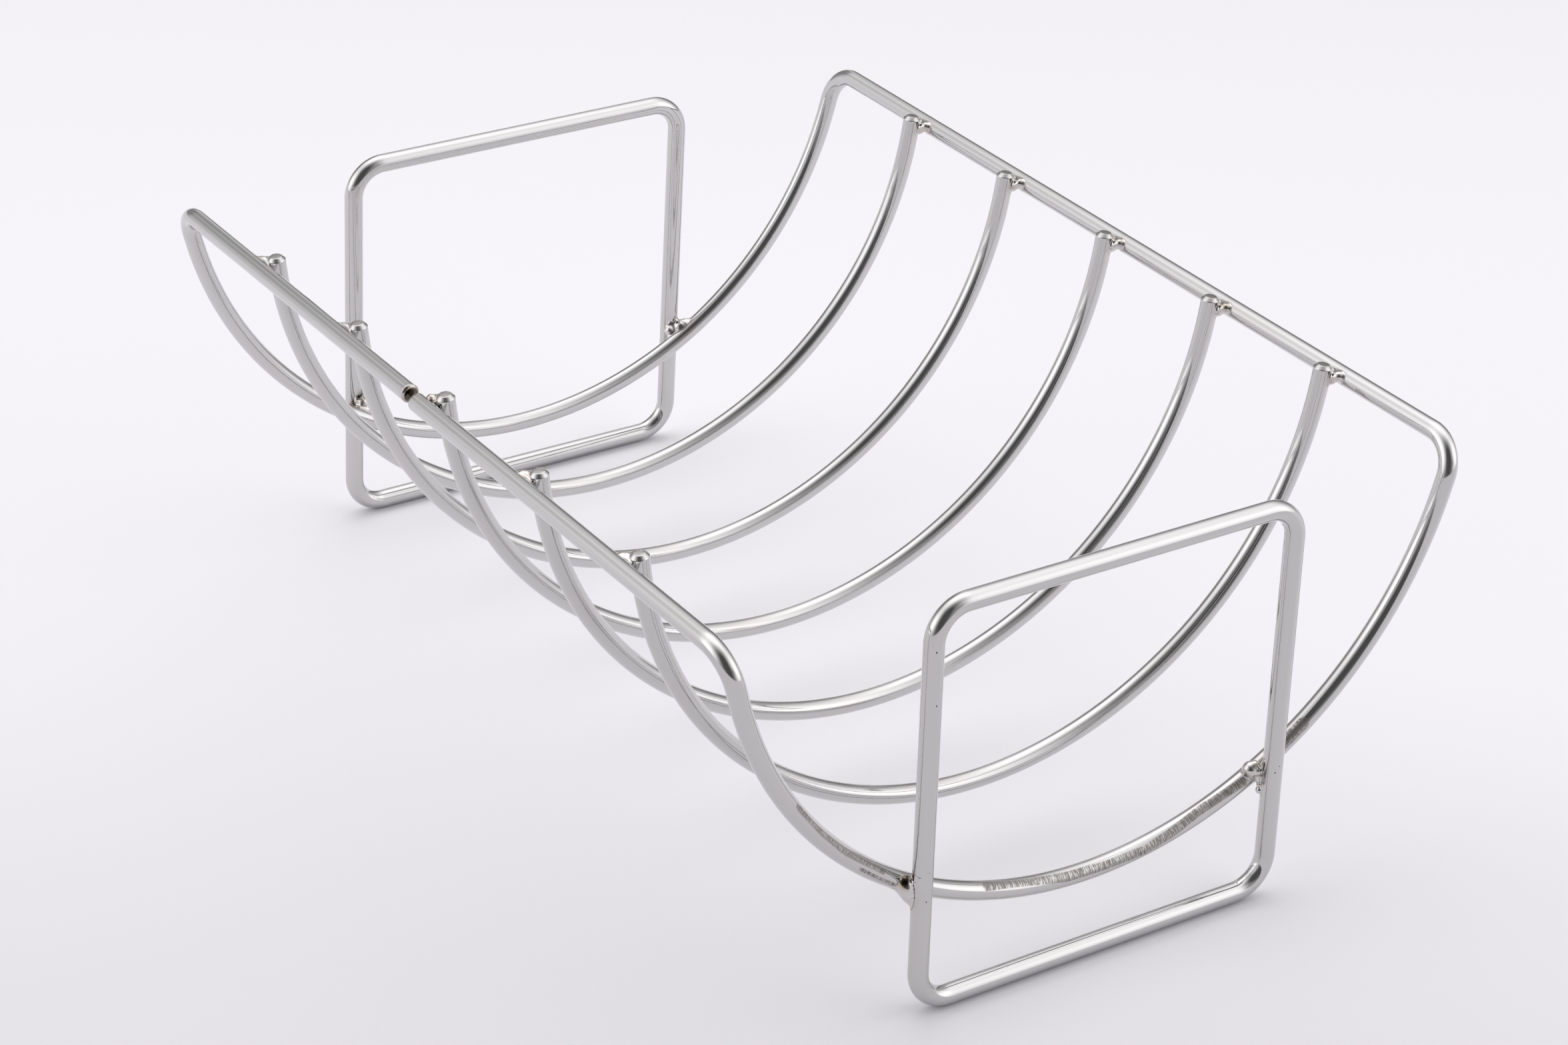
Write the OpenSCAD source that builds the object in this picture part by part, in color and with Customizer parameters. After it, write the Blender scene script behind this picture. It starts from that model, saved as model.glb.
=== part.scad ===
// Welded wire roasting rack: a half-round cradle of ribs between two straight rails,
// carried at each end by an upright rectangular frame that it stands on.
// X runs along the rails, Y across them, Z up. The origin is on the surface the rack
// stands on, under the middle of the cradle.

/* [Wire] */
// Diameter of the wire in the rim and the ribs
wire_d = 5; // [3.5:0.1:6.5]
// Diameter of the wire in the end frames
frame_wire_d = 5.2; // [3.5:0.1:7]
// Gap between two wires where they cross, bridged by their weld
weld_gap = 0.1; // [0.05:0.05:0.5]
// Chamfer round the cut ends of the ribs
end_chamfer = 0.9; // [0.1:0.1:1.2]
// Chamfer round the two ends at the open joint
joint_chamfer = 0.5; // [0.1:0.1:1]

/* [Rim] */
// Distance between the two rails, centre to centre
rail_span = 213; // [180:1:260]
// Height of the rails' centres above the surface
rail_height = 111; // [104:1:140]
// Distance between the two end hoops, centre to centre
hoop_spacing = 276; // [200:1:380]
// Depth of the hoops below the rails, centre to centre
hoop_depth = 91; // [80:1:96]
// Radius of the bends between hoops and rails, at the wire's centre
rim_bend_r = 9; // [6:0.5:16]
// Straight wire between a hoop's arc and its bend
bend_lead = 3; // [2:0.5:10]
// Place of the open joint in the near rail, from the middle of the rack
joint_x = -8; // [-14:0.5:-7]
// Width of the open joint
joint_gap = 0.7; // [0.3:0.1:2]
// How far the two ends miss each other at the open joint
joint_miss = 1.2; // [0:0.1:1.6]

/* [Ribs] */
// Number of ribs, spaced evenly between the hoops
rib_count = 5; // [3:2:7]
// Depth of the ribs below the rails, centre to centre
rib_depth = 89.5; // [80:0.5:96]
// Height of the ribs' cut ends above the rails' centres
rib_rise = 3.2; // [2:0.1:8]

/* [End frames] */
// Width of an end frame, centre to centre of its legs
frame_w = 106; // [70:1:140]
// Height of an end frame, centre to centre of its bars
frame_h = 107.5; // [90:0.5:130]
// Radius of the frame's corners, at the wire's centre
frame_bend_r = 9; // [6:0.5:20]
// Lean of the frames towards the cradle, in degrees
frame_lean = 1.3; // [0:0.1:4]

/* [Welds] */
// Radius of the main ball of a rib's weld
rib_weld_r = 1.8; // [1.5:0.1:2.6]
// Size of a frame's weld, of which its balls' places and radii are shares
frame_weld_r = 2.7; // [1.8:0.1:3]

/* [Hidden] */

// Facets in previews: round a wire, along a hoop or a rib, and round a ball of weld
wire_fn = 48;
ring_fn = 240;
weld_fn = 24;
$fn = wire_fn;

// Straight stretches are a hair thinner than the bends that they run on into
run_step = 0.02;
run_in = 0.4;

wire_r = wire_d / 2;
frame_r = frame_wire_d / 2;
rail_y = rail_span / 2;
hoop_x = hoop_spacing / 2;
bend_x = hoop_x - rim_bend_r;

// The wire leaves its hoop along the tangent, so the rails lie bend_reach past the hoop's end
bend_reach = bend_lead + rim_bend_r;
hoop_r = (pow(rail_y, 2) + pow(hoop_depth, 2) - pow(bend_reach, 2)) / (2 * hoop_depth);
hoop_z = rail_height - hoop_depth + hoop_r;
hoop_end = atan2(rail_y, hoop_r - hoop_depth) - atan2(bend_reach, hoop_r);

// A rib's circle lies inside both rails, weld_gap clear of them
rib_seat = wire_d + weld_gap;
rib_r = (pow(rail_y, 2) + pow(rib_depth, 2) - pow(rib_seat, 2)) / (2 * (rib_depth + rib_seat));
rib_z = rail_height - rib_depth + rib_r;
rib_tip = 2 * end_chamfer;
rib_end = acos((rib_z - rail_height - rib_rise) / rib_r) - rib_tip / rib_r * 180 / PI;
rib_pitch = hoop_spacing / (rib_count + 1);
// Angle from straight down at which a rib meets the rail
seat_angle = atan2(rail_y, rib_z - rail_height);

// The two halves of the near rail splay by these angles, so their ends miss at the joint
joint_left = joint_x - joint_gap / 2;
joint_right = joint_x + joint_gap / 2;
splay_left = asin(joint_miss / 2 / (joint_left + bend_x));
splay_right = -asin(joint_miss / 2 / (bend_x - joint_right));

// A leg crosses its hoop at this angle from straight down, and at this height
cross_angle = asin(frame_w / 2 / hoop_r);
cross_z = hoop_z - hoop_r * cos(cross_angle);
cross_up = (cross_z - frame_r) / cos(frame_lean);
foot_x = hoop_x + (wire_r + frame_r + weld_gap) / cos(frame_lean) + cross_up * sin(frame_lean);

// Balls of a rib's weld as [along the rail, into the cradle, up, share of rib_weld_r]
RIB_WELD = [
    [-1.42, 0.15, 0.35, 1],
    [-1.30, 0.55, -0.75, 0.78],
    [-1.75, -0.30, 0.85, 0.5]
];
// Balls of a frame's weld as [outboard, across, up, share of frame_weld_r], with across
// and up measured from the crossing of leg and hoop
LOWER_OUTER_WELD = [[0.05, -1.10, 0.95, 0.60], [0, -0.80, 0.12, 0.66], [0.02, -0.66, -0.60, 0.58],
    [0.05, -0.75, -1.15, 0.42], [-0.25, -1.70, 0.75, 0.42]];
UPPER_OUTER_WELD = [[0.05, -0.95, 0.75, 0.72], [0.15, 0.15, 0.75, 0.62], [-0.25, -1.70, 1.10, 0.50],
    [0.15, -0.85, 1.45, 0.45]];
UPPER_INNER_WELD = [[-0.20, 0.75, 0.90, 0.74], [-0.30, 0.35, 1.50, 0.46], [-0.10, 1.38, 0.32, 0.52]];
DRIPPED_WELD = [[-0.42, 1.50, 0.30, 0.80], [0.04, 0.98, 0.28, 0.62], [0.04, 0.94, -0.28, 0.50],
    [0.06, 0.82, -0.78, 0.38], [0.14, 0.78, -1.22, 0.31], [0.28, 0.80, -1.66, 0.34]];

STEEL = [0.80, 0.80, 0.81];
WELD = [0.86, 0.85, 0.84];

// Part of a ring of wire round the X axis, between two angles from straight down
module ring_arc(ring_r, from, to, r) {
    rotate([0, 90, 0]) rotate([0, 0, from])
        rotate_extrude(angle = to - from, $fn = ring_fn)
            translate([ring_r, 0]) circle(r = r, $fn = wire_fn);
}

// Straight wire along +X between two bends, which it runs on into at both ends
module run(length, r) {
    translate([-run_in, 0, 0]) rotate([0, 90, 0]) cylinder(h = length + 2 * run_in, r = r - run_step);
}

// Straight wire along +X out of a bend, with its far end cut and chamfered
module cut_run(length, r, chamfer) {
    end_r = r - run_step;
    translate([-run_in, 0, 0]) rotate([0, 90, 0])
        rotate_extrude() polygon([[0, 0], [end_r, 0], [end_r, length + run_in - chamfer],
            [end_r - chamfer, length + run_in], [0, length + run_in]]);
}

// Moves its children to the centre of the rim's +X, +Y bend, turned so that +X stays the rails'
// direction and +Y follows the hoop's tangent
module at_bend() {
    translate([bend_x, hoop_r * sin(hoop_end), hoop_z - hoop_r * cos(hoop_end)])
        rotate([hoop_end, 0, 0]) translate([0, bend_lead, 0]) children();
}

// Bend at the +X, +Y corner of the rim with its lead, short of a right angle by splay
module rim_bend(splay = 0) {
    at_bend() {
        rotate_extrude(angle = 90 - splay) translate([rim_bend_r, 0]) circle(r = wire_r);
        translate([rim_bend_r, 0, 0]) rotate([0, 0, -90]) run(bend_lead, wire_r);
    }
}

// Half of a rail that ends free: it leaves the bend at the +X, +Y corner and runs towards -X
module rail_half(splay, length) {
    at_bend() rotate([0, 0, 90 - splay]) translate([rim_bend_r, 0, 0]) rotate([0, 0, 90])
        cut_run(length, wire_r, joint_chamfer);
}

// Straight part of the near rail, in two halves with the open joint between them
module near_rail() {
    mirror([0, 1, 0]) rail_half(splay_right, bend_x - joint_right);
    mirror([1, 0, 0]) mirror([0, 1, 0]) rail_half(splay_left, joint_left + bend_x);
}

// Straight part of the far rail
module far_rail() {
    translate([-bend_x, rail_y, rail_height]) run(2 * bend_x, wire_r);
}

// Hoop at the +X end, without its bends
module hoop() {
    translate([hoop_x, 0, hoop_z]) ring_arc(hoop_r, -hoop_end, hoop_end, wire_r);
}

// One length of wire bent round both hoops and both rails, its ends meeting in the near rail
module rim_wire() {
    color(STEEL) {
        hoop();
        mirror([1, 0, 0]) hoop();
        rim_bend();
        mirror([1, 0, 0]) rim_bend();
        mirror([0, 1, 0]) rim_bend(splay_right);
        mirror([1, 0, 0]) mirror([0, 1, 0]) rim_bend(splay_left);
        far_rail();
        near_rail();
    }
}

function rib_x(i) = (i - (rib_count + 1) / 2) * rib_pitch;

// Cut end of a rib on the +Y side
module rib_end_tip() {
    rotate([rib_end, 0, 0]) translate([0, 0, -rib_r]) rotate([0, 0, 90])
        cut_run(rib_tip, wire_r, end_chamfer);
}

// Rib i, counted from the -X end
module rib(i) {
    color(STEEL) translate([rib_x(i), 0, rib_z]) {
        ring_arc(rib_r, -rib_end, rib_end, wire_r);
        rib_end_tip();
        mirror([0, 1, 0]) rib_end_tip();
    }
}

// Balls of weld round the origin, each [x, y, z, r] as shares of size
module weld_balls(balls, size) {
    for (b = balls) translate(size * [b[0], b[1], b[2]]) sphere(r = size * b[3], $fn = weld_fn);
}

// Moves its children to the point where rib i meets the near rail
module at_near_seat(i) {
    seat = rib_r + wire_r + weld_gap / 2;
    translate([rib_x(i), -seat * sin(seat_angle), rib_z - seat * cos(seat_angle)]) children();
}

// Weld of rib i to the near rail, in the corner on the rib's -X side
module near_weld(i) {
    color(WELD) difference() {
        at_near_seat(i) weld_balls(RIB_WELD, rib_weld_r);
        rib(i);
        near_rail();
    }
}

// Weld of rib i to the far rail, in the corner on the rib's +X side
module far_weld(i) {
    color(WELD) difference() {
        rotate([0, 0, 180]) at_near_seat(rib_count + 1 - i) weld_balls(RIB_WELD, rib_weld_r);
        rib(i);
        far_rail();
    }
}

// Moves its children from the end frame's own plane, upright at x = 0 and with its lower bar's
// centre at z = 0, to the frame's place at the +X end
module at_frame() {
    translate([foot_x, 0, frame_r]) rotate([0, -frame_lean, 0]) children();
}

// Leg of an end frame, on the +Y side
module frame_leg() {
    translate([0, frame_w / 2, frame_bend_r]) rotate([0, -90, 0]) run(frame_h - 2 * frame_bend_r, frame_r);
}

// Corner of an end frame, at the foot of its +Y leg
module frame_corner() {
    translate([0, frame_w / 2 - frame_bend_r, frame_bend_r]) ring_arc(frame_bend_r, 0, 90, frame_r);
}

// Lower bar of an end frame
module frame_bar() {
    bar = frame_w - 2 * frame_bend_r;
    translate([0, -bar / 2, 0]) rotate([0, 0, 90]) run(bar, frame_r);
}

// Closed rectangle of wire at the +X end, which the rack stands on
module end_frame() {
    color(STEEL) at_frame() {
        for (side = [0, 1]) mirror([0, side, 0]) {
            frame_leg();
            frame_corner();
            translate([0, 0, frame_h]) mirror([0, 0, 1]) frame_corner();
        }
        frame_bar();
        translate([0, 0, frame_h]) frame_bar();
    }
}

module end_frame_right() { end_frame(); }

module end_frame_left() { mirror([1, 0, 0]) end_frame(); }

// Weld between hoop and leg at the +X, -Y crossing
module frame_weld(balls) {
    color(WELD) difference() {
        translate([hoop_x + wire_r + weld_gap / 2, -frame_w / 2, cross_z]) weld_balls(balls, frame_weld_r);
        hoop();
        mirror([0, 1, 0]) at_frame() frame_leg();
    }
}

module frame_weld_right_near() { frame_weld(LOWER_OUTER_WELD); }

module frame_weld_right_far() { mirror([0, 1, 0]) frame_weld(DRIPPED_WELD); }

module frame_weld_left_near() { mirror([1, 0, 0]) frame_weld(UPPER_INNER_WELD); }

module frame_weld_left_far() { mirror([1, 0, 0]) mirror([0, 1, 0]) frame_weld(UPPER_OUTER_WELD); }

rim_wire();
for (i = [1:rib_count]) {
    rib(i);
    near_weld(i);
    far_weld(i);
}
end_frame_left();
end_frame_right();
frame_weld_left_near();
frame_weld_left_far();
frame_weld_right_near();
frame_weld_right_far();
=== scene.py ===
"""Looks of a welded wire roasting rack: its wires, welds, finish and studio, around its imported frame.

Lengths are in metres. X runs along the rails, Y across them and Z up. The near side is -Y and the
right end is +X, as the camera sees them.
"""
import math

import bmesh
import bpy
import numpy as np
from bpy.props import FloatProperty, FloatVectorProperty, IntProperty, PointerProperty
from mathutils import Euler, Matrix, Vector


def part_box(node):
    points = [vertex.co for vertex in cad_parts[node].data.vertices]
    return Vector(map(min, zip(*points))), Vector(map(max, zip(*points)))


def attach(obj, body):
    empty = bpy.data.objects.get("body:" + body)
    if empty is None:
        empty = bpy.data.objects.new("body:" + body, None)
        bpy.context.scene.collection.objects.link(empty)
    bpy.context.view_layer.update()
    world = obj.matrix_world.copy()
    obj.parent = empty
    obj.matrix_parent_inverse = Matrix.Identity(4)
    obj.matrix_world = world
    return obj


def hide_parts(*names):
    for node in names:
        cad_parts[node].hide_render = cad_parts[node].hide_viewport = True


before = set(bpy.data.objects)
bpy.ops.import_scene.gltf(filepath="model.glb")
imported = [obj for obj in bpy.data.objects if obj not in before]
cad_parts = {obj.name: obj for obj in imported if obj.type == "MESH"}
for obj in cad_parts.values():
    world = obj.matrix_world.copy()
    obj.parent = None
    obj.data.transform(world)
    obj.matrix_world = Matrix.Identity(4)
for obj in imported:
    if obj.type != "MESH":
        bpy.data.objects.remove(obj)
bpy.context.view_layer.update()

bl_info = {
    "name": "Wire Roasting Rack",
    "version": (1, 0, 0),
    "blender": (4, 5, 0),
    "location": "3D View > Sidebar > Rack",
    "description": "Bends, welds and finishes a stainless wire roasting rack around its frame",
    "category": "Object",
}

MM = 0.001
# How far the drawn wires stay inside the frame's, so that they never stand out of its box
SHY = 0.03 * MM
RIBS = sorted(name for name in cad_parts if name.startswith("rib_"))


def length(name, description, default, low, high):
    return FloatProperty(name=name, description=description, default=default, min=low, max=high,
                         unit="LENGTH", precision=4)


class RackSizes(bpy.types.PropertyGroup):
    """Sizes of the wires, the same as the frame's"""
    wire_d: length("Wire", "Diameter of the wire in the rim and the ribs", 0.005, 0.003, 0.007)
    frame_wire_d: length("Frame wire", "Diameter of the wire in the end frames", 0.0052, 0.003, 0.007)
    weld_gap: length("Weld gap", "Gap between two wires where they cross", 0.0001, 0.00005, 0.0005)
    end_bevel: length("End bevel", "Bevel round a rib's cut ends", 0.0009, 0.0001, 0.0012)
    joint_bevel: length("Joint bevel", "Bevel round the ends at the open joint", 0.0005, 0.0001, 0.001)
    rail_span: length("Rail span", "Distance between the two rails", 0.213, 0.18, 0.26)
    rail_height: length("Rail height", "Height of the rails' centres", 0.111, 0.1, 0.14)
    hoop_spacing: length("Hoop spacing", "Distance between the two end hoops", 0.276, 0.2, 0.38)
    hoop_depth: length("Hoop depth", "Depth of the hoops below the rails", 0.091, 0.08, 0.096)
    rim_bend_r: length("Rim bend", "Radius of the bends between hoops and rails", 0.009, 0.006, 0.016)
    bend_lead: length("Bend lead", "Straight wire between a hoop and its bend", 0.003, 0.002, 0.01)
    joint_x: length("Joint place", "Place of the open joint in the near rail", -0.008, -0.014, -0.007)
    joint_gap: length("Joint gap", "Width of the open joint", 0.0007, 0.0003, 0.002)
    joint_miss: length("Joint miss", "How far the two ends miss each other", 0.0012, 0, 0.0016)
    rib_depth: length("Rib depth", "Depth of the ribs below the rails", 0.0895, 0.08, 0.096)
    rib_rise: length("Rib rise", "Height of the ribs' ends above the rails", 0.0032, 0.002, 0.008)
    frame_w: length("Frame width", "Width of an end frame, leg to leg", 0.106, 0.07, 0.14)
    frame_h: length("Frame height", "Height of an end frame, bar to bar", 0.1075, 0.09, 0.13)
    frame_bend_r: length("Frame corner", "Radius of the frame's corners", 0.009, 0.006, 0.02)
    frame_lean: FloatProperty(name="Frame lean", description="Lean of the frames towards the cradle",
                              default=math.radians(1.3), min=0, max=0.07, subtype="ANGLE")
    rib_weld_r: length("Rib weld", "Radius of a rib weld's main ball", 0.0018, 0.0015, 0.0026)
    frame_weld_r: length("Frame weld", "Size of a frame's weld, of which its balls are shares",
                         0.0027, 0.0018, 0.003)
    sides: IntProperty(name="Sides", description="Faces round a wire", default=48, min=16, max=96)


class RackFinish(bpy.types.PropertyGroup):
    """Colours and polish of the steel"""
    steel: FloatVectorProperty(name="Steel", description="Colour of the clean steel", subtype="COLOR",
                               default=(0.60, 0.592, 0.59), min=0, max=1)
    tint: FloatVectorProperty(name="Heat tint", description="Colour of the steel beside a weld",
                              subtype="COLOR", default=(0.36, 0.25, 0.15), min=0, max=1)
    # Soot is also the colour of painted shade: the rim's open joint and the gap beside the right near leg
    soot_and_shade: FloatVectorProperty(name="Soot", description="Colour of burnt steel and of specks",
                              subtype="COLOR", default=(0.035, 0.03, 0.028), min=0, max=1)
    scuff: FloatVectorProperty(name="Scuff", description="Colour of scraped steel", subtype="COLOR",
                               default=(0.40, 0.37, 0.34), min=0, max=1)
    polish: FloatProperty(name="Roughness", description="Roughness of the clean steel", default=0.08,
                          min=0.02, max=0.6, subtype="FACTOR")
    weld_polish: FloatProperty(name="Weld roughness", description="Roughness of the weld beads",
                               default=0.07, min=0.02, max=0.6, subtype="FACTOR")


class RackStudio(bpy.types.PropertyGroup):
    """Camera, floor and light"""
    camera_place: FloatVectorProperty(name="Camera", description="Place of the camera", subtype="XYZ",
                                      unit="LENGTH", default=(0.771136, -0.52384, 0.55629))
    camera_turn: FloatVectorProperty(name="Camera turn", description="Turn of the camera",
                                     subtype="EULER", default=(1.07405, -0.037911, 0.994092))
    lens: FloatProperty(name="Lens", description="Focal length for a 36 mm sensor, in mm",
                        default=91.502, min=20, max=200)
    floor: FloatVectorProperty(name="Floor", description="Colour of the floor", subtype="COLOR",
                               default=(0.95, 0.935, 0.975), min=0, max=1)
    sky: FloatProperty(name="Soft light", description="Strength of the light all round", default=1.0,
                       min=0, max=3)


# Centre lines

class Wire:
    """Centre line of a wire: points, and at each one the share of the full diameter"""

    def __init__(self, points, radius, closed=False, cut=0.0):
        self.radius, self.closed, self.cut = radius, closed, cut
        self.points = np.array(points, float)
        self.swell = np.ones(len(self.points))
        if cut:
            self._cut_end(cut)
            self._flip()
            self._cut_end(cut)
            self._flip()

    def _flip(self):
        self.points, self.swell = self.points[::-1], self.swell[::-1]

    def _cut_end(self, edge, rings=5, crown=0.03 * MM):
        """Cuts the last end: a bevel whose corners are a little round, then a slightly crowned face"""
        end = self.points[-1].copy()
        away = end - self.points[-2]
        away /= np.linalg.norm(away)
        keep = (self.points - end) @ away < -edge * 1.3
        keep |= np.linalg.norm(self.points - end, axis=1) > 4 * edge
        points, swell = list(self.points[keep]), list(self.swell[keep])
        for back, inset in ((1.15, 0), (0.98, 0.03), (0.88, 0.13), (0.13, 0.88), (0.03, 0.98)):
            points.append(end - away * (crown + edge * back))
            swell.append(1 - edge * inset / self.radius)
        inner = self.radius - edge * 1.12
        for k in range(rings + 1):
            share = 1 - k / rings
            points.append(end - away * crown * share ** 2)
            swell.append(max(inner * share / self.radius, 0.004))
        self.points, self.swell = np.array(points), np.array(swell)


def straight(a, b, step=1.2 * MM):
    """Points from a to b, without b"""
    a, b = np.array(a, float), np.array(b, float)
    count = max(1, round(np.linalg.norm(b - a) / step))
    return [a + (b - a) * k / count for k in range(count)]


def arc(centre, ex, ey, radius, start, end, step=1.2 * MM, least=18):
    """Points on a circle round centre in the plane of ex and ey, both ends included"""
    count = max(least, round(abs(end - start) * radius / step))
    angles = np.linspace(start, end, count + 1)
    return [np.array(centre) + radius * (math.cos(a) * np.array(ex) + math.sin(a) * np.array(ey))
            for a in angles]


def hoop_circle(s):
    """Radius, height of the centre and half angle of the hoops"""
    rail_y, reach = s.rail_span / 2, s.bend_lead + s.rim_bend_r
    radius = (rail_y ** 2 + s.hoop_depth ** 2 - reach ** 2) / (2 * s.hoop_depth)
    half = math.atan2(rail_y, radius - s.hoop_depth) - math.atan2(reach, radius)
    return radius, s.rail_height - s.hoop_depth + radius, half


def rib_circle(s):
    """Radius, height of the centre and half angle of the ribs, short of their straight tips"""
    seat = s.wire_d + s.weld_gap
    rail_y = s.rail_span / 2
    radius = (rail_y ** 2 + s.rib_depth ** 2 - seat ** 2) / (2 * (s.rib_depth + seat))
    height = s.rail_height - s.rib_depth + radius
    half = math.acos((height - s.rail_height - s.rib_rise) / radius) - 2 * s.end_bevel / radius
    return radius, height, half


def rim_line(s):
    """The rim from its right-hand free end, by the right hoop, the far rail and the left hoop"""
    radius, height, half = hoop_circle(s)
    bend_x = s.hoop_spacing / 2 - s.rim_bend_r

    def corner(side_x, side_y):
        ex = np.array([side_x, 0, 0.0])
        ey = np.array([0, side_y * math.cos(half), math.sin(half)])
        foot = [side_x * bend_x, side_y * radius * math.sin(half), height - radius * math.cos(half)]
        return np.array(foot) + s.bend_lead * ey, ex, ey

    def bend(side_x, side_y, miss=0.0):
        centre, ex, ey = corner(side_x, side_y)
        return arc(centre, ex, ey, s.rim_bend_r, 0, math.pi / 2 - miss)

    def hoop(side_x):
        return arc([side_x * s.hoop_spacing / 2, 0, height], [0, 0, -1], [0, 1, 0], radius, -half, half)

    def free_rail(side_x, miss, reach):
        """Bend at the near corner, then half of the near rail out to its free end"""
        _, ex, ey = corner(side_x, -1)
        turn = math.pi / 2 - miss
        points = bend(side_x, -1, miss)
        end = points[-1] + reach * (-math.sin(turn) * ex + math.cos(turn) * ey)
        return points[:-1] + straight(points[-1], end) + [end]

    left_reach = s.joint_x - s.joint_gap / 2 + bend_x
    right_reach = bend_x - s.joint_x - s.joint_gap / 2
    left = free_rail(-1, math.asin(s.joint_miss / 2 / left_reach), left_reach)
    right = free_rail(1, -math.asin(s.joint_miss / 2 / right_reach), right_reach)
    far_right, far_left = bend(1, 1), bend(-1, 1)
    return Wire(right[::-1] + hoop(1) + far_right + straight(far_right[-1], far_left[-1])[1:]
                + far_left[::-1] + hoop(-1)[::-1] + left, s.wire_d / 2 - SHY, cut=s.joint_bevel)


def rib_line(s, x):
    """A rib at that place along the rails"""
    radius, height, half = rib_circle(s)
    points = arc([x, 0, height], [0, 0, -1], [0, 1, 0], radius, -half, half)
    tip = 2 * s.end_bevel
    ends = [np.array([x, side * (radius * math.sin(half) + tip * math.cos(half)),
                      height - radius * math.cos(half) + tip * math.sin(half)]) for side in (-1, 1)]
    return Wire([ends[0]] + points + [ends[1]], s.wire_d / 2 - SHY, cut=s.end_bevel)


def frame_foot(s):
    """Distance of an end frame's lower bar from the middle of the rack"""
    radius, height, _ = hoop_circle(s)
    half_wire = s.frame_wire_d / 2
    cross_z = height - math.sqrt(radius ** 2 - (s.frame_w / 2) ** 2)
    up = (cross_z - half_wire) / math.cos(s.frame_lean)
    clear = (s.wire_d / 2 + half_wire + s.weld_gap) / math.cos(s.frame_lean)
    return s.hoop_spacing / 2 + clear + up * math.sin(s.frame_lean), cross_z


def frame_line(s, side):
    """An end frame, closed, on that side"""
    foot_x, _ = frame_foot(s)
    flat = []
    reach_y, r = s.frame_w / 2 - s.frame_bend_r, s.frame_bend_r
    low, high = r, s.frame_h - r
    for y, z, turn in ((reach_y, low, -90), (reach_y, high, 0), (-reach_y, high, 90), (-reach_y, low, 180)):
        start = math.radians(turn)
        bend = arc([0, y, z], [0, 1, 0], [0, 0, 1], r, start, start + math.pi / 2)
        if flat:
            flat += straight(flat[-1], bend[0])[1:]
        flat += bend
    flat += straight(flat[-1], flat[0])[1:]
    lean_x, lean_z = math.sin(s.frame_lean), math.cos(s.frame_lean)
    points = [[side * (foot_x - p[2] * lean_x), p[1], s.frame_wire_d / 2 + p[2] * lean_z] for p in flat]
    return Wire(points, s.frame_wire_d / 2 - SHY, closed=True)


# Wires made by Geometry Nodes

def wire_tree():
    """Node group that sweeps round wire along a path and keeps each point's place on the strand"""
    tree = bpy.data.node_groups.new("Round wire", "GeometryNodeTree")
    face = tree.interface
    face.new_socket("Path", in_out="INPUT", socket_type="NodeSocketGeometry")
    face.new_socket("Radius", in_out="INPUT", socket_type="NodeSocketFloat")
    face.new_socket("Sides", in_out="INPUT", socket_type="NodeSocketInt")
    face.new_socket("Finish", in_out="INPUT", socket_type="NodeSocketMaterial")
    face.new_socket("Wire", in_out="OUTPUT", socket_type="NodeSocketGeometry")
    links = tree.links

    def add(kind, settings=None, **inputs):
        node = tree.nodes.new(kind)
        for name, value in (settings or {}).items():
            setattr(node, name, value)
        for name, value in inputs.items():
            socket = node.inputs[name.replace("_", " ")]
            if isinstance(value, bpy.types.NodeSocket):
                links.new(value, socket)
            else:
                socket.default_value = value
        return node

    source = add("NodeGroupInput").outputs
    swell = add("GeometryNodeInputNamedAttribute", {"data_type": "FLOAT"}, Name="swell")
    curve = add("GeometryNodeMeshToCurve", Mesh=source["Path"])
    along = add("GeometryNodeCaptureAttribute", Geometry=curve.outputs[0])
    along.capture_items.new("FLOAT", "Along")
    along.capture_items.new("FLOAT", "Swell")
    links.new(add("GeometryNodeSplineParameter").outputs["Length"], along.inputs["Along"])
    links.new(swell.outputs[0], along.inputs["Swell"])
    circle = add("GeometryNodeCurvePrimitiveCircle", Resolution=source["Sides"], Radius=source["Radius"])
    across = add("GeometryNodeCaptureAttribute", Geometry=circle.outputs[0])
    across.capture_items.new("VECTOR", "Across")
    links.new(add("GeometryNodeInputPosition").outputs[0], across.inputs["Across"])
    sweep = add("GeometryNodeCurveToMesh", Curve=along.outputs[0], Profile_Curve=across.outputs[0],
                Scale=along.outputs["Swell"], Fill_Caps=True)
    offset = add("ShaderNodeSeparateXYZ", Vector=across.outputs["Across"])
    strand = add("ShaderNodeCombineXYZ", X=along.outputs["Along"], Y=offset.outputs[0],
                 Z=offset.outputs[1])
    kept = add("GeometryNodeStoreNamedAttribute", {"data_type": "FLOAT_VECTOR", "domain": "POINT"},
               Geometry=sweep.outputs[0], Name="strand", Value=strand.outputs[0])
    smooth = add("GeometryNodeSetShadeSmooth", Geometry=kept.outputs[0])
    real = add("GeometryNodeRealizeInstances", Geometry=smooth.outputs[0])
    finished = add("GeometryNodeSetMaterial", Geometry=real.outputs[0], Material=source["Finish"])
    links.new(finished.outputs[0], add("NodeGroupOutput").inputs[0])
    return tree


def new_object(name, mesh):
    obj = bpy.data.objects.new(name, mesh)
    bpy.context.scene.collection.objects.link(obj)
    return obj


def run_tree(obj, tree, inputs):
    """Runs a node group on an object, and makes the result its plain mesh"""
    modifier = obj.modifiers.new("Wire", "NODES")
    modifier.node_group = tree
    ids = {item.name: item.identifier for item in tree.interface.items_tree if item.in_out == "INPUT"}
    for name, value in inputs.items():
        modifier[ids[name]] = value
    done = bpy.data.meshes.new_from_object(obj.evaluated_get(bpy.context.evaluated_depsgraph_get()))
    obj.modifiers.remove(modifier)
    obj.data = done
    done.name = obj.name
    if not len(done.polygons):
        raise RuntimeError(f"the node group made nothing of {obj.name}")
    return obj


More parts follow.
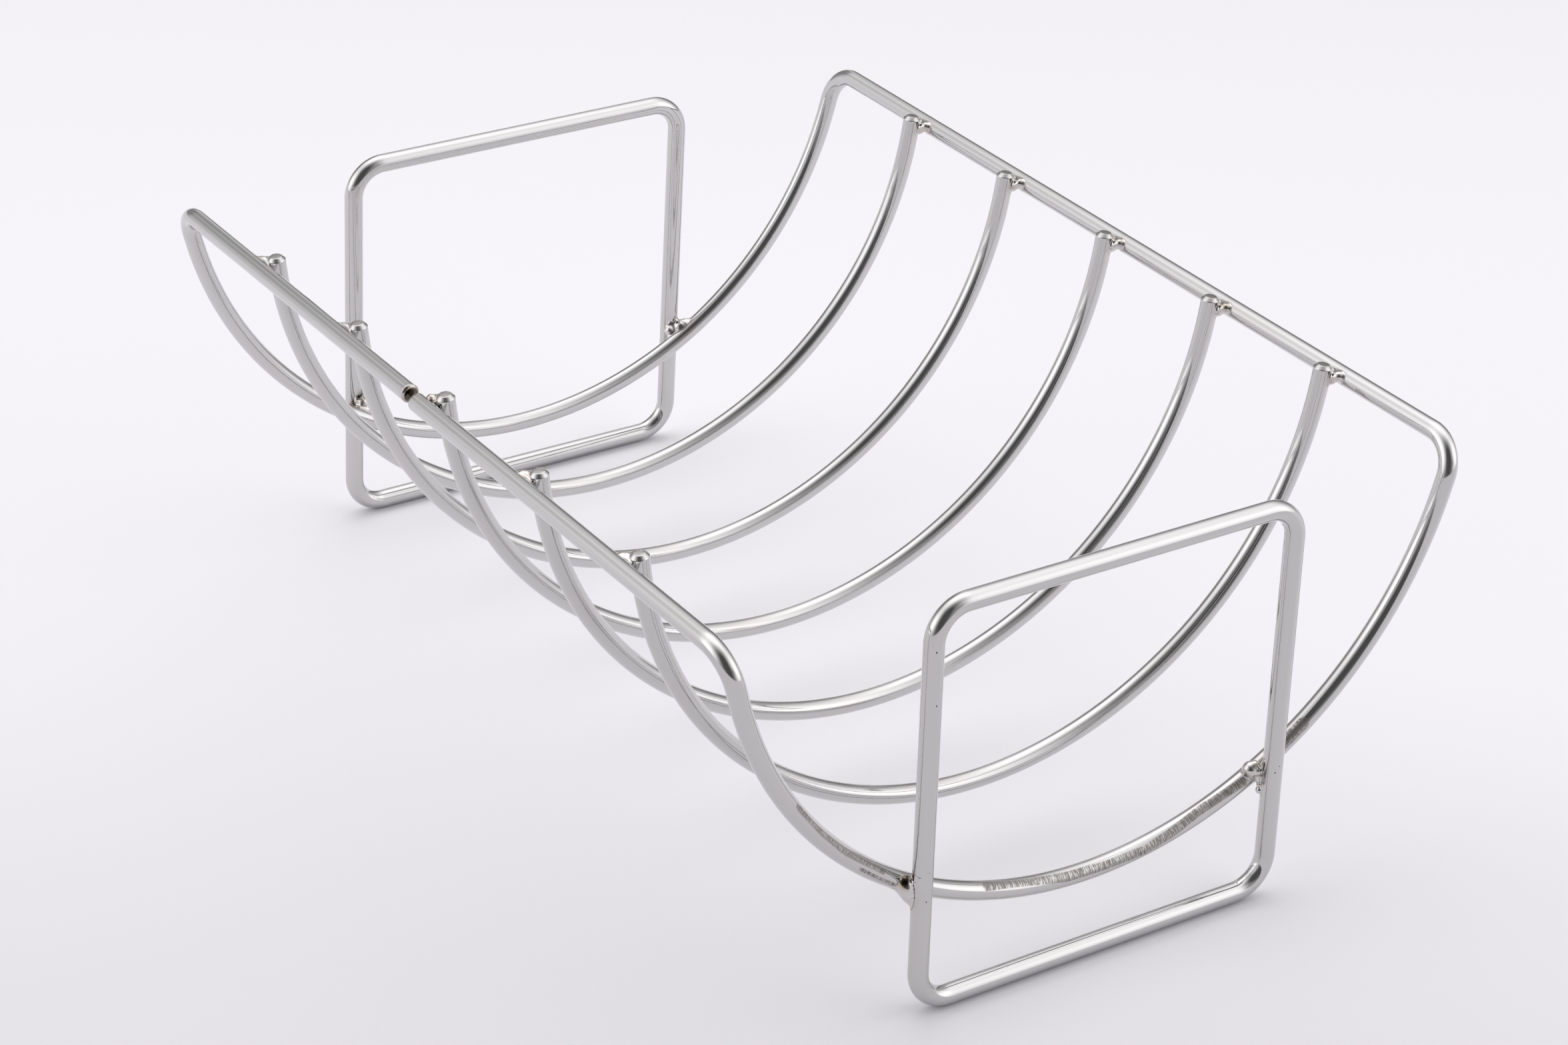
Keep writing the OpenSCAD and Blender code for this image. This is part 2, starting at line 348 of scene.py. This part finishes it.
def bend_wire(name, wire, sides, finish):
    """Sweeps one wire along its centre line"""
    mesh = bpy.data.meshes.new(name)
    count = len(wire.points)
    edges = [(k, k + 1) for k in range(count - 1)] + ([(count - 1, 0)] if wire.closed else [])
    mesh.from_pydata([tuple(p) for p in wire.points], edges, [])
    mesh.attributes.new("swell", "FLOAT", "POINT").data.foreach_set("value", wire.swell)
    tree = bpy.data.node_groups.get("Round wire") or wire_tree()
    obj = run_tree(new_object(name, mesh), tree,
                   {"Radius": wire.radius, "Sides": sides, "Finish": finish})
    return obj


# Welds

class Bead:
    """Weld metal between wires: balls that flow into each other and into the wires"""

    def __init__(self, balls, wires, flow, seed, lump=0.03 * MM):
        self.balls = np.array(balls, float)
        self.flow, self.lump = flow, lump
        self.strands = []
        centre = self.balls[0][:3]
        self.reach = flow + max(np.linalg.norm(b[:3] - centre) + b[3] for b in self.balls)
        for wire in wires:
            ends = np.vstack([wire.points, wire.points[:1]]) if wire.closed else wire.points
            a, b = ends[:-1], ends[1:]
            close = np.linalg.norm((a + b) / 2 - centre, axis=1) < self.reach + 2 * wire.radius
            tips = [] if wire.closed else [(ends[0], ends[0] - ends[8]), (ends[-1], ends[-1] - ends[-9])]
            tips = [(end, way / np.linalg.norm(way)) for end, way in tips
                    if np.linalg.norm(end - centre) < 2 * self.reach]
            self.strands.append((a[close], b[close], wire.radius, wire.cut, tips))
        draw = np.random.default_rng(seed)
        self.waves = [(draw.normal(0, 1, 3) / (0.7 * MM), draw.uniform(0, 6.28)) for _ in range(5)]

    @staticmethod
    def _melt(a, b, flow):
        near = np.clip(flow - np.abs(a - b), 0, None) / flow
        return np.minimum(a, b) - near * near * flow / 4

    def wires_at(self, points):
        """Distance from each point to the nearest surface of each wire, whose ends are bevelled"""
        found = []
        for a, b, radius, bevel, tips in self.strands:
            run = b - a
            share = np.einsum("pki,ki->pk", points[:, None] - a, run) / (run * run).sum(1)
            foot = a + np.clip(share, 0, 1)[..., None] * run
            skin = np.linalg.norm(points[:, None] - foot, axis=2).min(1) - radius
            for end, way in tips:
                past = (points - end) @ way
                skin = np.maximum(skin, np.maximum(past, (skin + past + bevel) * 0.7))
            found.append(skin)
        return found

    def depth(self, points, wires=None):
        """Below 0 inside the weld and the wires that it flows into"""
        wires = self.wires_at(points) if wires is None else wires
        metal = None
        for x, y, z, r in self.balls:
            ball = np.linalg.norm(points - (x, y, z), axis=1) - r
            metal = ball if metal is None else self._melt(metal, ball, self.flow)
        metal = metal + self.lump * sum(np.sin(points @ k + p) for k, p in self.waves) / 2
        for wire in wires:
            metal = self._melt(metal, wire, self.flow)
        return metal

    def mesh(self, name, finish, subdivisions, sunk=0.06 * MM, steps=32):
        """Closed shell round the main ball, out to the weld's skin or just below a wire's surface"""
        shell = bmesh.new()
        bmesh.ops.create_icosphere(shell, subdivisions=subdivisions, radius=1)
        ways = np.array([v.co[:] for v in shell.verts], float)
        centre = self.balls[0][:3]

        def out(ways, distance):
            points = centre + ways * distance[:, None]
            wires = self.wires_at(points)
            return (self.depth(points, wires) > 0) | (np.min(wires, axis=0) < -sunk)

        low, high = np.zeros(len(ways)), np.full(len(ways), self.reach)
        going = np.arange(len(ways))
        for k in range(1, steps + 1):
            far = np.full(len(going), self.reach * k / steps)
            stop = out(ways[going], far)
            high[going[stop]] = far[stop]
            going = going[~stop]
            low[going] = self.reach * k / steps
        low = np.minimum(low, high - self.reach / steps)
        for _ in range(9):
            middle = (low + high) / 2
            stop = out(ways, middle)
            high, low = np.where(stop, middle, high), np.where(stop, low, middle)
        points = centre + ways * ((low + high) / 2)[:, None]
        for vert, point in zip(shell.verts, points):
            vert.co = point
        mesh = bpy.data.meshes.new(name)
        shell.to_mesh(mesh)
        shell.free()
        mesh.materials.append(finish)
        mesh.polygons.foreach_set("use_smooth", [True] * len(mesh.polygons))
        return mesh


# Balls of a rib's weld, in shares of its size, as [along the rail, into the cradle, up, radius]
NEAR_BEAD = ((-1.32, 0.16, 0.22, 0.80), (-1.22, 0.50, -0.72, 0.62), (-1.62, -0.20, 0.68, 0.42))
FAR_BEAD = ((-1.56, 0.30, -0.02, 0.70), (-1.25, 0.62, -0.60, 0.62), (-2.12, 0.02, 0.28, 0.74))
# The same for a frame's weld, as [outboard, across, up, radius]
LOWER_OUTER = ((0.08, -0.78, -0.12, 0.66), (0.15, -0.80, -0.58, 0.46), (0.0, -1.15, 0.30, 0.46),
               (-0.05, -0.82, 0.80, 0.44))
UPPER_OUTER = ((-0.41, -0.65, 1.30, 0.70), (-0.46, -1.26, 1.57, 0.50), (-0.08, 0.50, 0.92, 0.54),
               (0.05, -0.85, 0.80, 0.60))
UPPER_INNER = ((-0.20, 0.75, 0.90, 0.70), (-0.30, 0.35, 1.50, 0.42), (-0.10, 1.38, 0.32, 0.46))
DRIPPED = ((-0.40, 1.48, 0.30, 0.80), (0.04, 0.98, 0.28, 0.56), (-0.22, 1.16, 0.66, 0.55))
DRIP = ((0.10, 0.86, -0.62, 0.40), (0.04, 0.94, -0.28, 0.44), (0.28, 0.82, -1.14, 0.27))
DRIP_TIP = ((0.42, 0.86, -1.66, 0.37), (0.30, 0.82, -1.16, 0.26))


def rib_bead(s, x, side):
    """Balls of the weld between the rib at x and the rail on that side"""
    radius, height, _ = rib_circle(s)
    seat = radius + s.wire_d / 2 + s.weld_gap / 2
    angle = math.atan2(s.rail_span / 2, height - s.rail_height)
    base = np.array([x, side * seat * math.sin(angle), height - seat * math.cos(angle)])
    turn = -side
    return [[*(base + s.rib_weld_r * np.array([turn * b[0], turn * b[1], b[2]])), s.rib_weld_r * b[3]]
            for b in (NEAR_BEAD if side < 0 else FAR_BEAD)]


def frame_bead(s, balls, side_x, side_y):
    """Balls of the weld between the hoop and the leg at that corner; their pattern is for -Y"""
    _, cross_z = frame_foot(s)
    base = np.array([side_x * (s.hoop_spacing / 2 + s.wire_d / 2 + s.weld_gap / 2),
                     side_y * s.frame_w / 2, cross_z])
    return [[*(base + s.frame_weld_r * np.array([side_x * b[0], -side_y * b[1], b[2]])),
             s.frame_weld_r * b[3]] for b in balls]


# Shader maths

class Finish:
    """A material's or a world's node tree"""

    def __init__(self, owner):
        owner.use_nodes = True
        self.tree = owner.node_tree
        self.tree.nodes.clear()

    def add(self, kind, settings=None, inputs=None):
        """Adds any node: its settings first, then the values or links of its sockets"""
        node = self.tree.nodes.new(kind)
        for name, value in (settings or {}).items():
            setattr(node, name, value)
        for name, value in (inputs or {}).items():
            socket = node.inputs[name]
            if isinstance(value, Value):
                value = value.socket
            if isinstance(value, bpy.types.NodeSocket):
                self.tree.links.new(value, socket)
            else:
                socket.default_value = value
        return node

    def value(self, socket):
        return Value(self, socket)

    def mix(self, share, a, b):
        """Colour a where share is 0, b where it is 1"""
        return self.add("ShaderNodeMix", {"data_type": "RGBA"}, {0: share, 6: a, 7: b}).outputs[2]

    def noise(self, where, scale, detail=2.0, rough=0.5):
        node = self.add("ShaderNodeTexNoise", None,
                        {"Vector": where, "Scale": scale, "Detail": detail, "Roughness": rough})
        return self.value(node.outputs["Fac"])

    def vector(self, operation, inputs, output="Vector"):
        return self.add("ShaderNodeVectorMath", {"operation": operation}, inputs).outputs[output]

    def scaled(self, where, factors):
        return self.vector("MULTIPLY", {0: where, 1: factors})

    def gap(self, where, start, end):
        """Distance from a place to the line between two points"""
        run = np.subtract(end, start)
        reach = float(run @ run)
        way = self.vector("SUBTRACT", {0: where, 1: start})
        if reach > 0:
            share = (self.value(self.vector("DOT_PRODUCT", {0: way, 1: run}, "Value")) / reach).held()
            way = self.vector("SUBTRACT", {0: way, 1: self.vector("SCALE", {0: run, "Scale": share})})
        return self.value(self.vector("LENGTH", {0: way}, "Value"))

    def attribute(self, name, output="Fac"):
        return self.add("ShaderNodeAttribute", {"attribute_name": name}).outputs[output]


class Value:
    """A number that varies over a surface; Python's operators on it add Math nodes"""

    def __init__(self, finish, socket):
        self.finish, self.socket = finish, socket

    def _math(self, operation, *numbers, clamp=False):
        inputs = dict(enumerate(numbers))
        node = self.finish.add("ShaderNodeMath", {"operation": operation, "use_clamp": clamp}, inputs)
        return Value(self.finish, node.outputs[0])

    def __add__(self, other):
        return self._math("ADD", self, other)

    def __radd__(self, other):
        return self._math("ADD", other, self)

    def __sub__(self, other):
        return self._math("SUBTRACT", self, other)

    def __rsub__(self, other):
        return self._math("SUBTRACT", other, self)

    def __mul__(self, other):
        return self._math("MULTIPLY", self, other)

    def __rmul__(self, other):
        return self._math("MULTIPLY", other, self)

    def __truediv__(self, other):
        return self._math("DIVIDE", self, other)

    def __pow__(self, other):
        return self._math("POWER", self, other)

    def most(self, other):
        return self._math("MAXIMUM", self, other)

    def held(self):
        """Kept from 0 to 1"""
        return self._math("ADD", self, 0.0, clamp=True)

    def rise(self, low, high):
        """0 up to low, then smoothly to 1 at high; the other way round if low is above high"""
        if low > high:
            return 1 - self.rise(high, low)
        node = self.finish.add("ShaderNodeMapRange", {"interpolation_type": "SMOOTHSTEP"},
                               {0: self, 1: low, 2: high})
        return Value(self.finish, node.outputs[0])


def steel_finish(name, colours, polish, lines=()):
    """Satin stainless wire: drawing lines along it, fine grain, specks, scuffs and heat tint, and painted
    shade in the rim's open joint and beside the right near leg
    """
    material = bpy.data.materials.new(name)
    f = Finish(material)
    strand = f.attribute("strand", "Vector")
    where = f.add("ShaderNodeTexCoord").outputs["Object"]
    drawn = f.noise(f.scaled(strand, (0.012, 1, 1)), 2600, 2)
    patch = f.noise(f.scaled(strand, (0.3, 1, 1)), 130, 3)
    fine = f.noise(f.scaled(strand, (0.35, 1, 1)), 5200, 2)
    scorch_and_shade = f.value(f.attribute("scorch_and_shade"))
    wear = f.value(f.attribute("wear"))
    ticks = f.noise(f.scaled(strand, (1, 0.12, 0.12)), 3600, 4, 0.7)
    speck = f.noise(f.scaled(strand, (0.7, 1, 1)), 700, 1).rise(0.86, 0.88)
    steel = (*colours.steel, 1)
    base = f.mix(drawn.rise(0.5, 0.8) * 0.14, steel, (*[c * 0.85 for c in colours.steel], 1))
    warm = (*[c * k for c, k in zip(colours.steel, (1.0, 0.965, 0.94))], 1)
    base = f.mix(patch.rise(0.45, 0.7) * 0.25, base, warm)
    # Heat marks tint the steel and, where strong, blacken it: real heat tint and burns round the welds, and
    # painted shade in the rim's open joint and in the narrow gap beside the right near leg
    base = f.mix((scorch_and_shade * (patch.rise(0.3, 0.6) * 0.5 + 0.15)).held(), base, (*colours.tint, 1))
    burnt_and_shaded = scorch_and_shade.rise(0.65, 0.95) * (patch.rise(0.45, 0.6) * 0.5 + 0.4)
    base = f.mix(burnt_and_shaded.held(), base, (*colours.soot_and_shade, 1))
    scuff = (wear + (patch - 0.5) * 0.7).rise(0.3, 0.6) * ticks.rise(0.40, 0.58)
    base = f.mix(wear.rise(0.15, 0.7) * 0.5, base, (*colours.scuff, 1))
    base = f.mix(scuff * 0.75, base, (*[c * 0.3 for c in colours.scuff], 1))
    marks = speck * 0.6
    for start, end, radius in lines:
        away = f.gap(where, [c * MM for c in start], [c * MM for c in end])
        marks = marks.most(away.rise(radius * MM * 1.2, radius * MM * 0.7))
    base = f.mix(marks.held(), base, (*colours.soot_and_shade, 1))
    rough = (patch - 0.5) * 0.06 + (drawn - 0.5) * 0.05 + polish
    rough = rough + scuff * 0.3 + wear * 0.12 + marks * 0.3
    height = fine * 0.4 + drawn * 0.1 + scuff * -1.6
    bump = f.add("ShaderNodeBump", None, {"Strength": 0.2, "Distance": 0.00002, "Height": height})
    shader = f.add("ShaderNodeBsdfPrincipled", None,
                   {"Base Color": base, "Metallic": 1.0, "Roughness": rough.held(),
                    "Normal": bump.outputs[0]})
    f.add("ShaderNodeOutputMaterial", None, {"Surface": shader.outputs[0]})
    return material


def weld_finish(colours):
    """Bright weld metal that has run: glossy, with heat tint, sooty specks in its hollows and small pits,
    and painted shade where the marks of the gap beside the right near leg reach it
    """
    material = bpy.data.materials.new("weld_metal")
    f = Finish(material)
    where = f.add("ShaderNodeTexCoord").outputs["Object"]
    scorch_and_shade = f.value(f.attribute("scorch_and_shade"))
    patch = f.noise(where, 420, 3)
    spots = f.noise(where, 900, 2)
    ripple = f.noise(where, 700, 2)
    bright = (*[min(1, c * 1.1) for c in colours.steel], 1)
    base = f.mix((patch.rise(0.56, 0.74) * 0.5).held(), bright, (*colours.tint, 1))
    base = f.mix((scorch_and_shade * (patch.rise(0.3, 0.6) * 0.8 + 0.1)).held(), base, (*colours.tint, 1))
    # Black spots, and blackening where the heat marks are strong: real burns, and painted shade where the
    # marks of the gap beside the right near leg reach the weld
    burnt_and_shaded = (spots.rise(0.71, 0.77) * 0.8).most(scorch_and_shade.rise(0.6, 0.95) * patch.rise(0.36, 0.52))
    base = f.mix(burnt_and_shaded.held(), base, (*colours.soot_and_shade, 1))
    rough = spots.rise(0.6, 0.75) * 0.3 + (patch - 0.5) * 0.08 + colours.weld_polish
    bump = f.add("ShaderNodeBump", None, {"Strength": 0.3, "Distance": 0.0001, "Height": ripple})
    shader = f.add("ShaderNodeBsdfPrincipled", None,
                   {"Base Color": base, "Metallic": 1.0, "Roughness": rough.held(),
                    "Normal": bump.outputs[0]})
    f.add("ShaderNodeOutputMaterial", None, {"Surface": shader.outputs[0]})
    return material


def material(name, make, *options):
    """The material of that name, made once"""
    return bpy.data.materials.get(name) or make(*options)


# Marks on the wires

def near_to(points, marks):
    """For each point, the strongest of the marks: (start, end, half width, strength)"""
    found = np.zeros(len(points))
    for start, end, width, strength in marks:
        start, run = np.array(start), np.subtract(end, start)
        share = np.clip((points - start) @ run / max(run @ run, 1e-12), 0, 1)
        away = np.linalg.norm(points - start - share[:, None] * run, axis=1)
        share = np.clip(1.5 - away / width, 0, 1)
        found = np.maximum(found, strength * share * share * (3 - 2 * share))
    return found


def paint(obj, name, marks):
    """Keeps the marks' strength at each vertex as an attribute of the mesh"""
    mesh = obj.data
    points = np.zeros(len(mesh.vertices) * 3)
    mesh.vertices.foreach_get("co", points)
    layer = mesh.attributes.new(name, "FLOAT", "POINT")
    layer.data.foreach_set("value", near_to(points.reshape(-1, 3), marks))


# Scuffs on the rim, in mm: the points that each passes, its half width and its strength
SCUFFS = (
    (((140.2, -87.3, 67.2), (140.3, -80.5, 58.1), (140.3, -73.3, 50.3), (140.2, -62.0, 41.2)), 0.8, 0.6),
    (((140.4, -68.8, 44.3), (140.4, -63.8, 40.3), (140.4, -58.8, 36.7)), 0.4, 1.0),
    (((139.6, -31.1, 26.7), (140.0, -7.1, 21.7), (140.4, 5.0, 21.4), (140.4, 17.1, 22.0),
      (139.9, 26.0, 24.5), (139.4, 34.0, 27.7), (140.1, 46.4, 32.2)), 1.2, 0.85),
    (((139.8, 58.5, 39.4), (139.8, 64.6, 43.8)), 1.5, 1.0),
    (((102.8, 104.0, 111.0), (116.0, 105.5, 109.6), (129.6, 107.6, 108.4)), 0.6, 0.5),
)
# Specks and fine lines on the end frames, in mm: start, end and half width
SPECKS = (
    ((143.4, -55.6, 36.3), (143.4, -55.6, 36.3), 0.26), ((145.8, -53.5, 33.2), (145.8, -53.5, 33.2), 0.2),
    ((143.7, -55.5, 38.3), (143.7, -55.5, 38.3), 0.13), ((144.1, -53.9, 100.4), (144.1, -53.9, 100.4), 0.22),
    ((144.6, -53.3, 86.3), (144.6, -53.3, 86.3), 0.2), ((145.5, 51.9, 36.2), (145.5, 51.9, 36.2), 0.2),
    ((145.7, 52.9, 37.9), (145.7, 52.9, 37.9), 0.16), ((143.3, -55.6, 40.3), (144.7, -55.0, 39.8), 0.09),
    ((144.7, -55.0, 39.8), (145.6, -52.9, 41.1), 0.09),
)
# Burnt places on wires and welds, in mm: middle, half width and strength. The first, on the right hoop
# beside its near leg, is partly a burn and partly painted shade and reflection of the narrow gap between
# hoop and leg
BURNS_AND_SHADE = (
    ((140.2, -56.0, 36.8), 2.0, 1.0), ((140.2, 46.8, 31.6), 1.0, 0.9), ((-141.2, -52.0, 39.5), 2.4, 1.0),
    ((-140.6, -54.5, 37.6), 1.6, 1.0), ((-139.4, 57.6, 38.2), 1.2, 0.7),
)


def scuff_marks():
    found = []
    for points, width, strength in SCUFFS:
        places = np.array(points) * MM
        found += [(a, b, width * MM, strength) for a, b in zip(places, places[1:])]
    return found


def end_marks(s):
    """Scrapes on the ribs' cut ends"""
    return [(end, end, 2.3 * MM, 0.42) for name in RIBS
            for end in rib_line(s, rib_place(name)).points[[0, -1]]]


def heat_and_shade_marks(s):
    """Heat round each weld, the burns, and the painted shade of the rim's open joint, as marks"""
    found = [(np.array(place) * MM, np.array(place) * MM, width * MM, strength)
             for place, width, strength in BURNS_AND_SHADE]
    for name in RIBS:
        x = rib_place(name)
        for side in (-1, 1):
            balls = rib_bead(s, x, side)
            found.append((balls[0][:3], balls[0][:3], 3.0 * MM, 0.3))
            found.append((balls[-1][:3], balls[-1][:3], 1.1 * MM, 0.95))
    for node, balls, side_x, side_y, _ in FRAME_WELDS:
        ball = frame_bead(s, balls, side_x, side_y)[0]
        found.append((ball[:3], ball[:3], 4.2 * MM, 0.2))
    # Painted shade: the rim's open joint is given the strongest heat mark, so that its end faces render near
    # black with tint round them, for the dark gap between the two ends
    joint = (s.joint_x, -s.rail_span / 2, s.rail_height)
    return found + [(joint, joint, 2.8 * MM, 1.0)]


def rib_place(name):
    low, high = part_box(name)
    return (low.x + high.x) / 2


# Frame welds: node, balls, side along X, side along Y, and how far the metal flows into the wires
FRAME_WELDS = (
    ("frame_weld_right_near", LOWER_OUTER, 1, -1, 2.0 * MM),
    ("frame_weld_right_far", DRIPPED, 1, 1, 0.4 * MM),
    ("frame_weld_left_near", UPPER_INNER, -1, -1, 1.6 * MM),
    ("frame_weld_left_far", UPPER_OUTER, -1, 1, 1.5 * MM),
)


def settle(obj, slot, *nodes):
    """Rides the piece on the rack in the place of its nodes"""
    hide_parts(*nodes)
    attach(obj, "root")


def all_wires(s):
    """Every wire's centre line, by the name of its node"""
    wires = {"rim_wire": rim_line(s)}
    for name in RIBS:
        wires[name] = rib_line(s, rib_place(name))
    for name, side in (("end_frame_left", -1), ("end_frame_right", 1)):
        wires[name] = frame_line(s, side)
    return wires


def make_wires(context, names, slot):
    s, colours = context.scene.rack_sizes, context.scene.rack_finish
    lines = SPECKS if slot == "frame_wire" else ()
    finish = material(slot + "_steel", steel_finish, slot + "_steel", colours, colours.polish, lines)
    wires = all_wires(s)
    for name in names:
        obj = bend_wire(name + "_bent", wires[name], s.sides, finish)
        paint(obj, "scorch_and_shade", heat_and_shade_marks(s))
        paint(obj, "wear", {"rim_wire": scuff_marks(), "rib_wire": end_marks(s)}.get(slot, []))
        settle(obj, slot, name)


def lay_bead(s, bead, name, node, finish, subdivisions):
    obj = new_object(name, bead.mesh(name, finish, subdivisions))
    paint(obj, "scorch_and_shade", heat_and_shade_marks(s))
    settle(obj, "weld", node)


# Operators

class RACK_OT_bend_rim(bpy.types.Operator):
    """Bend the rim: two rails and two hoops of one wire, butted in the near rail"""
    bl_idname = "rack.bend_rim"
    bl_label = "Bend Rim"

    def execute(self, context):
        make_wires(context, ["rim_wire"], "rim_wire")
        return {"FINISHED"}


class RACK_OT_bend_ribs(bpy.types.Operator):
    """Bend the cross ribs of the cradle"""
    bl_idname = "rack.bend_ribs"
    bl_label = "Bend Ribs"

    def execute(self, context):
        make_wires(context, RIBS, "rib_wire")
        return {"FINISHED"}


class RACK_OT_bend_end_frames(bpy.types.Operator):
    """Bend the two end frames that the rack stands on"""
    bl_idname = "rack.bend_end_frames"
    bl_label = "Bend End Frames"

    def execute(self, context):
        make_wires(context, ["end_frame_left", "end_frame_right"], "frame_wire")
        return {"FINISHED"}


class RACK_OT_weld_ribs(bpy.types.Operator):
    """Weld each rib to both rails"""
    bl_idname = "rack.weld_ribs"
    bl_label = "Weld Ribs"

    def execute(self, context):
        s, colours = context.scene.rack_sizes, context.scene.rack_finish
        finish = material("weld_metal", weld_finish, colours)
        wires = all_wires(s)
        for name in RIBS:
            for side, rail in ((-1, "near"), (1, "far")):
                node = f"{rail}_weld_{name[-1]}"
                seed = 10 * int(name[-1]) + side
                bead = Bead(rib_bead(s, rib_place(name), side), (wires[name], wires["rim_wire"]),
                            1.4 * MM if side < 0 else 0.9 * MM, seed)
                lay_bead(s, bead, node + "_run", node, finish, 6)
        return {"FINISHED"}


class RACK_OT_weld_frames(bpy.types.Operator):
    """Weld the end frames' legs to the hoops"""
    bl_idname = "rack.weld_frames"
    bl_label = "Weld Frames"

    def execute(self, context):
        s, colours = context.scene.rack_sizes, context.scene.rack_finish
        finish = material("weld_metal", weld_finish, colours)
        wires = all_wires(s)
        for seed, (node, balls, side_x, side_y, flow) in enumerate(FRAME_WELDS):
            leg = wires["end_frame_right" if side_x > 0 else "end_frame_left"]
            bead = Bead(frame_bead(s, balls, side_x, side_y), (leg, wires["rim_wire"]), flow, seed)
            lay_bead(s, bead, node + "_run", node, finish, 6)
            for part, more in (("drip", DRIP), ("drip_tip", DRIP_TIP)) if balls is DRIPPED else ():
                run = Bead(frame_bead(s, more, side_x, side_y), (leg, wires["rim_wire"]), 0.4 * MM, 9)
                lay_bead(s, run, f"{node}_{part}", node, finish, 5)
        return {"FINISHED"}


# Soft boxes, above 0, and dark parts of the studio, below 0, as seen from the rack: azimuth from +Y
# towards +X, elevation and the angle at which it has faded to half, in degrees, then its strength
LIGHTS = (
    (118, 35, 60, -0.89),
    (-54, 0, 60, -0.7),
    (-71, 66, 29, 1.53),
    (42, 27, 29, 1.31),
    (-162, 22, 23, 1.25),
    (-62, 15, 5, 0.63),
    (-81, 33, 9, -0.51),
    (-106, 27, 13, -0.37),
    (75, 22, 7, -0.38),
    (8, 65, 11, 0.31),
)
ROOM_LEVEL = 0.87


class RACK_OT_set_stage(bpy.types.Operator):
    """Set the camera, the floor and the soft light of the studio"""
    bl_idname = "rack.set_stage"
    bl_label = "Set Stage"

    def execute(self, context):
        studio, scene = context.scene.rack_studio, context.scene
        camera = bpy.data.objects.new("camera", bpy.data.cameras.new("camera"))
        scene.collection.objects.link(camera)
        camera.data.lens, camera.data.sensor_width = studio.lens, 36
        camera.matrix_world = Matrix.LocRotScale(Vector(studio.camera_place),
                                                 Euler(studio.camera_turn, "XYZ"), None)
        scene.camera = camera
        floor_mesh = bpy.data.meshes.new("floor")
        half = 20.0
        floor_mesh.from_pydata([(-half, -half, 0), (half, -half, 0), (half, half, 0), (-half, half, 0)],
                               [], [(0, 1, 2, 3)])
        floor = new_object("floor", floor_mesh)
        ground = bpy.data.materials.new("floor_paper")
        f = Finish(ground)
        where = f.add("ShaderNodeTexCoord").outputs["Object"]
        # Painted shade on the floor: its colour darkens by up to 15% towards the camera, and a little far
        # behind the rack
        ahead = f.value(f.vector("DOT_PRODUCT", {0: where, 1: (-0.83, 0.56, 0)}, "Value"))
        painted_floor_shade = ahead.rise(0.04, -0.20).most(ahead.rise(0.2, 0.7) * 0.35)
        colour = f.mix(painted_floor_shade, (*studio.floor, 1), (*[c * 0.85 for c in studio.floor], 1))
        shader = f.add("ShaderNodeBsdfPrincipled", None,
                       {"Base Color": colour, "Roughness": 0.8, "Specular IOR Level": 0.1})
        f.add("ShaderNodeOutputMaterial", None, {"Surface": shader.outputs[0]})
        floor_mesh.materials.append(ground)
        scene.world = studio_world(studio)
        scene.view_settings.view_transform = "Standard"
        return {"FINISHED"}


def studio_world(studio):
    """Soft light all round, with soft boxes and the dark side of the room"""
    world = bpy.data.worlds.new("studio")
    f = Finish(world)
    way = f.add("ShaderNodeTexCoord").outputs["Generated"]
    level = ROOM_LEVEL
    for azimuth, elevation, half, strength in LIGHTS:
        a, e = math.radians(azimuth), math.radians(elevation)
        ahead = (math.sin(a) * math.cos(e), math.cos(a) * math.cos(e), math.sin(e))
        dot = f.value(f.vector("DOT_PRODUCT", {0: way, 1: ahead}, "Value"))
        fade = math.log(0.5) / math.log(math.cos(math.radians(half)))
        level = dot.most(0.0) ** fade * strength + level
    room = f.vector("SCALE", {0: (1.0, 0.995, 1.0), "Scale": level.most(0.1) * studio.sky})
    background = f.add("ShaderNodeBackground", None, {"Color": room})
    f.add("ShaderNodeOutputWorld", None, {"Surface": background.outputs[0]})
    return world


class RACK_PT_rack(bpy.types.Panel):
    """Steps of making the rack, in order"""
    bl_label = "Roasting Rack"
    bl_space_type = "VIEW_3D"
    bl_region_type = "UI"
    bl_category = "Rack"

    def draw(self, context):
        for step in STEPS:
            self.layout.operator(step.bl_idname)
        for group in (context.scene.rack_sizes, context.scene.rack_finish, context.scene.rack_studio):
            box = self.layout.box()
            for name in group.bl_rna.properties.keys():
                if name not in {"rna_type", "name"}:
                    box.prop(group, name)


STEPS = (RACK_OT_set_stage, RACK_OT_bend_rim, RACK_OT_bend_ribs, RACK_OT_bend_end_frames,
         RACK_OT_weld_ribs, RACK_OT_weld_frames)
GROUPS = {"rack_sizes": RackSizes, "rack_finish": RackFinish, "rack_studio": RackStudio}


def register():
    for kind in (*GROUPS.values(), *STEPS, RACK_PT_rack):
        bpy.utils.register_class(kind)
    for name, kind in GROUPS.items():
        setattr(bpy.types.Scene, name, PointerProperty(type=kind))


def unregister():
    for name in GROUPS:
        delattr(bpy.types.Scene, name)
    for kind in reversed((*GROUPS.values(), *STEPS, RACK_PT_rack)):
        bpy.utils.unregister_class(kind)


def main():
    register()
    for step in STEPS:
        group, name = step.bl_idname.split(".")
        getattr(getattr(bpy.ops, group), name)()
    bpy.context.view_layer.update()


if __name__ == "__main__":
    main()
